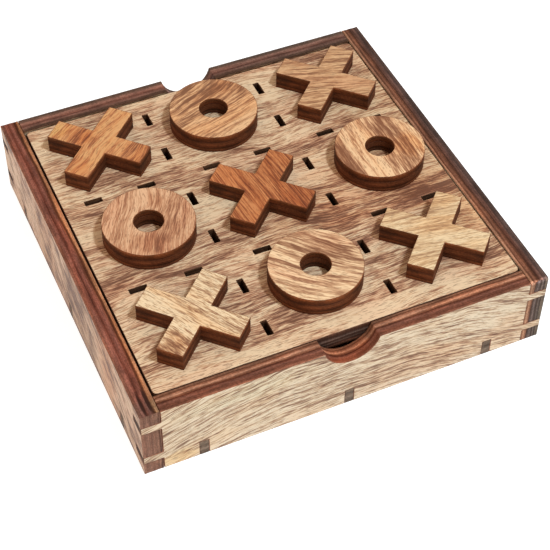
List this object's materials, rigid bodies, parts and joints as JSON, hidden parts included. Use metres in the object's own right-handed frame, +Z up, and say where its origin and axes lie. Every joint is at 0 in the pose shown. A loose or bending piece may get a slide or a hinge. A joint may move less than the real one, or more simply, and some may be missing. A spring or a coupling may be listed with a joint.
{
  "type": "tic tac toe set",
  "caption": "Square plywood box with finger-jointed corners, a lift-out slotted playing board as its lid, and loose flat crosses and rings that stand on the board.",
  "frame": {"origin": "middle of the box's underside", "axes": "+Z up; -Y is the front wall and +Y the back wall, each with a thumb notch; -X is the left wall and +X the right wall"},
  "size_m": [0.14, 0.14, 0.0349],
  "materials": {
    "base_ply": "unvarnished plywood with burnt cut edges",
    "wall_ply": "clear satin plywood with burnt cut edges",
    "rest_ply": "unvarnished plywood with burnt cut edges",
    "board_ply": "clear satin plywood with burnt cut edges",
    "x_piece_ply": "clear satin plywood with burnt cut edges",
    "o_piece_ply": "clear satin plywood with burnt cut edges"
  },
  "bodies": {
    "box": {"base_panel": "base_ply", "left_wall": "wall_ply", "right_wall": "wall_ply", "front_wall": "wall_ply", "back_wall": "wall_ply", "board_rest_front_left": "rest_ply", "board_rest_front_right": "rest_ply", "board_rest_back_left": "rest_ply", "board_rest_back_right": "rest_ply"},
    "board": {"board_panel": "board_ply"},
    "x_piece_back_left": {"x_piece_back_left": "x_piece_ply"},
    "x_piece_back_right": {"x_piece_back_right": "x_piece_ply"},
    "x_piece_centre": {"x_piece_centre": "x_piece_ply"},
    "x_piece_front_left": {"x_piece_front_left": "x_piece_ply"},
    "x_piece_front_right": {"x_piece_front_right": "x_piece_ply"},
    "o_piece_back_middle": {"o_piece_back_middle": "o_piece_ply"},
    "o_piece_middle_left": {"o_piece_middle_left": "o_piece_ply"},
    "o_piece_middle_right": {"o_piece_middle_right": "o_piece_ply"},
    "o_piece_front_middle": {"o_piece_front_middle": "o_piece_ply"}
  },
  "joints": [
    {"name": "board_lift", "type": "slide", "parent": "box", "child": "board", "axis": [0, 0, 1], "range_m": [0, 0.045]},
    {"name": "x_piece_back_left_lift", "type": "slide", "parent": "board", "child": "x_piece_back_left", "axis": [0, 0, 1], "range_m": [0, 0.03]},
    {"name": "x_piece_back_right_lift", "type": "slide", "parent": "board", "child": "x_piece_back_right", "axis": [0, 0, 1], "range_m": [0, 0.03]},
    {"name": "x_piece_centre_lift", "type": "slide", "parent": "board", "child": "x_piece_centre", "axis": [0, 0, 1], "range_m": [0, 0.03]},
    {"name": "x_piece_front_left_lift", "type": "slide", "parent": "board", "child": "x_piece_front_left", "axis": [0, 0, 1], "range_m": [0, 0.03]},
    {"name": "x_piece_front_right_lift", "type": "slide", "parent": "board", "child": "x_piece_front_right", "axis": [0, 0, 1], "range_m": [0, 0.03]},
    {"name": "o_piece_back_middle_lift", "type": "slide", "parent": "board", "child": "o_piece_back_middle", "axis": [0, 0, 1], "range_m": [0, 0.03]},
    {"name": "o_piece_middle_left_lift", "type": "slide", "parent": "board", "child": "o_piece_middle_left", "axis": [0, 0, 1], "range_m": [0, 0.03]},
    {"name": "o_piece_middle_right_lift", "type": "slide", "parent": "board", "child": "o_piece_middle_right", "axis": [0, 0, 1], "range_m": [0, 0.03]},
    {"name": "o_piece_front_middle_lift", "type": "slide", "parent": "board", "child": "o_piece_front_middle", "axis": [0, 0, 1], "range_m": [0, 0.03]}
  ]
}
